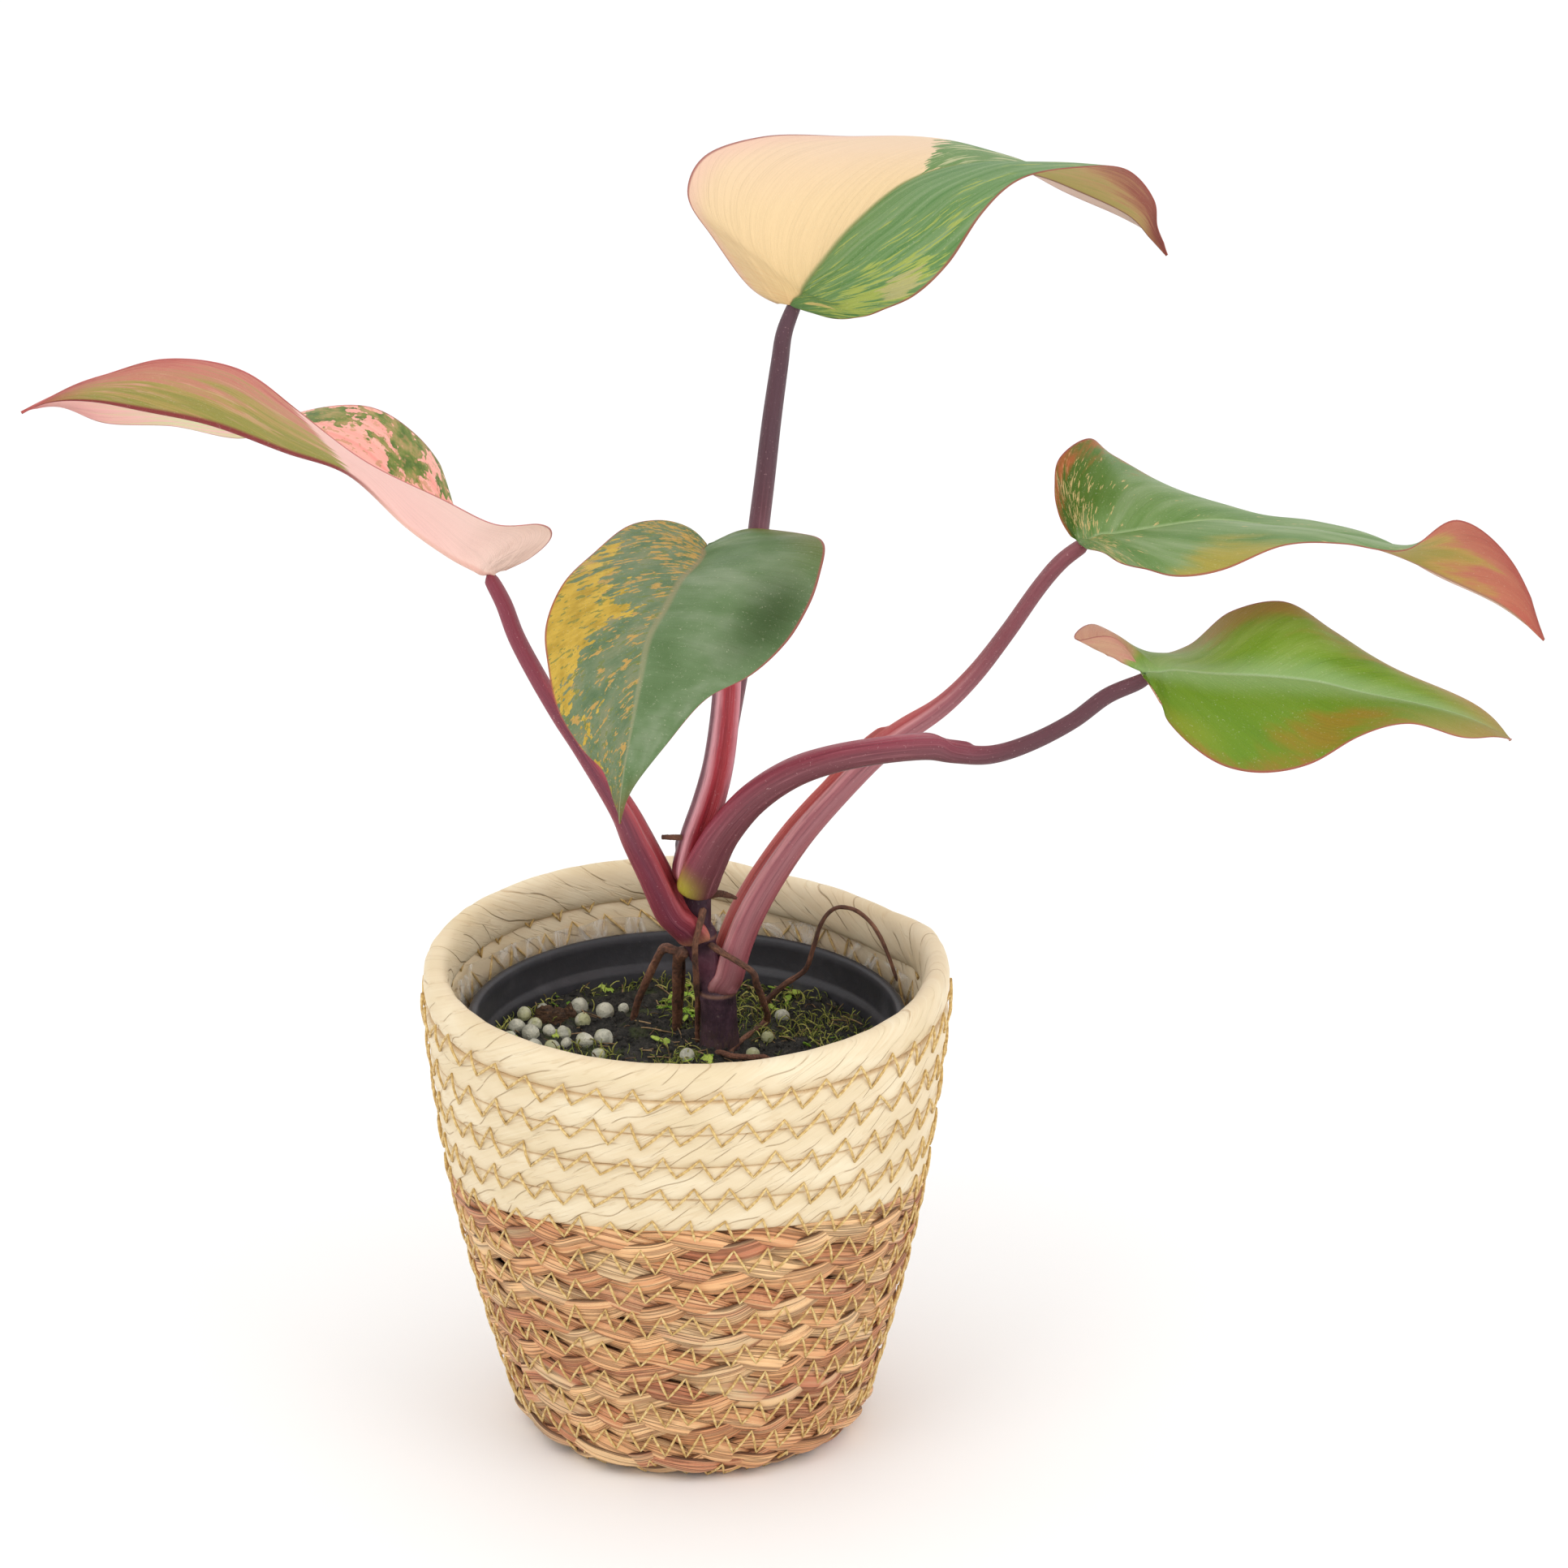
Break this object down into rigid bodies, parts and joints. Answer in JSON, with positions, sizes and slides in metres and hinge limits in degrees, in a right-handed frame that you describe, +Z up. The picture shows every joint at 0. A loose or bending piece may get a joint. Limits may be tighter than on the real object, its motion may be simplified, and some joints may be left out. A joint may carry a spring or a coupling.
{
  "type": "potted house plant",
  "caption": "Climbing aroid house plant with large variegated leaves on red petioles, standing in a black nursery pot with soil inside a two-tone sewn coil basket",
  "frame": {"origin": "centre of the basket's flat underside", "axes": "+Z up, -Y towards the side the picture shows, +X to the right there and along the longest reach of the leaves"},
  "size_m": [0.4069, 0.1566, 0.3584],
  "materials": {
    "seagrass": "dry plaited grass",
    "palm": "dry wound palm leaf",
    "film": "clear crinkled film",
    "black_plastic": "satin",
    "peat": "loose moist peat",
    "stem_skin": "satin plant skin",
    "petiole_purple": "satin plant skin",
    "petiole_crimson": "satin plant skin",
    "petiole_maroon": "satin plant skin",
    "blade_cream_green": "soft gloss leaf",
    "blade_pink_olive": "soft gloss leaf",
    "blade_green_gold": "soft gloss leaf",
    "blade_green_red": "soft gloss leaf",
    "blade_lime": "soft gloss leaf",
    "dry_root": "dry bark"
  },
  "bodies": {
    "root": {"basket_seagrass_coils": "seagrass", "basket_cream_coils": "palm", "film_liner": "film", "nursery_pot": "black_plastic", "potting_soil": "peat", "stem": "stem_skin", "petiole_top": "petiole_purple", "petiole_left": "petiole_crimson", "petiole_front": "petiole_crimson", "petiole_right_upper": "petiole_crimson", "petiole_right_lower": "petiole_maroon", "leaf_top": "blade_cream_green", "leaf_left": "blade_pink_olive", "leaf_front": "blade_green_gold", "leaf_right_upper": "blade_green_red", "leaf_right_lower": "blade_lime", "aerial_root_left": "dry_root", "aerial_root_middle": "dry_root", "aerial_root_thin": "dry_root", "aerial_root_front": "dry_root", "aerial_root_right": "dry_root", "dry_tendril": "dry_root", "surface_root": "dry_root", "root_stub_left": "dry_root", "root_stub_right": "dry_root"}
  },
  "joints": []
}
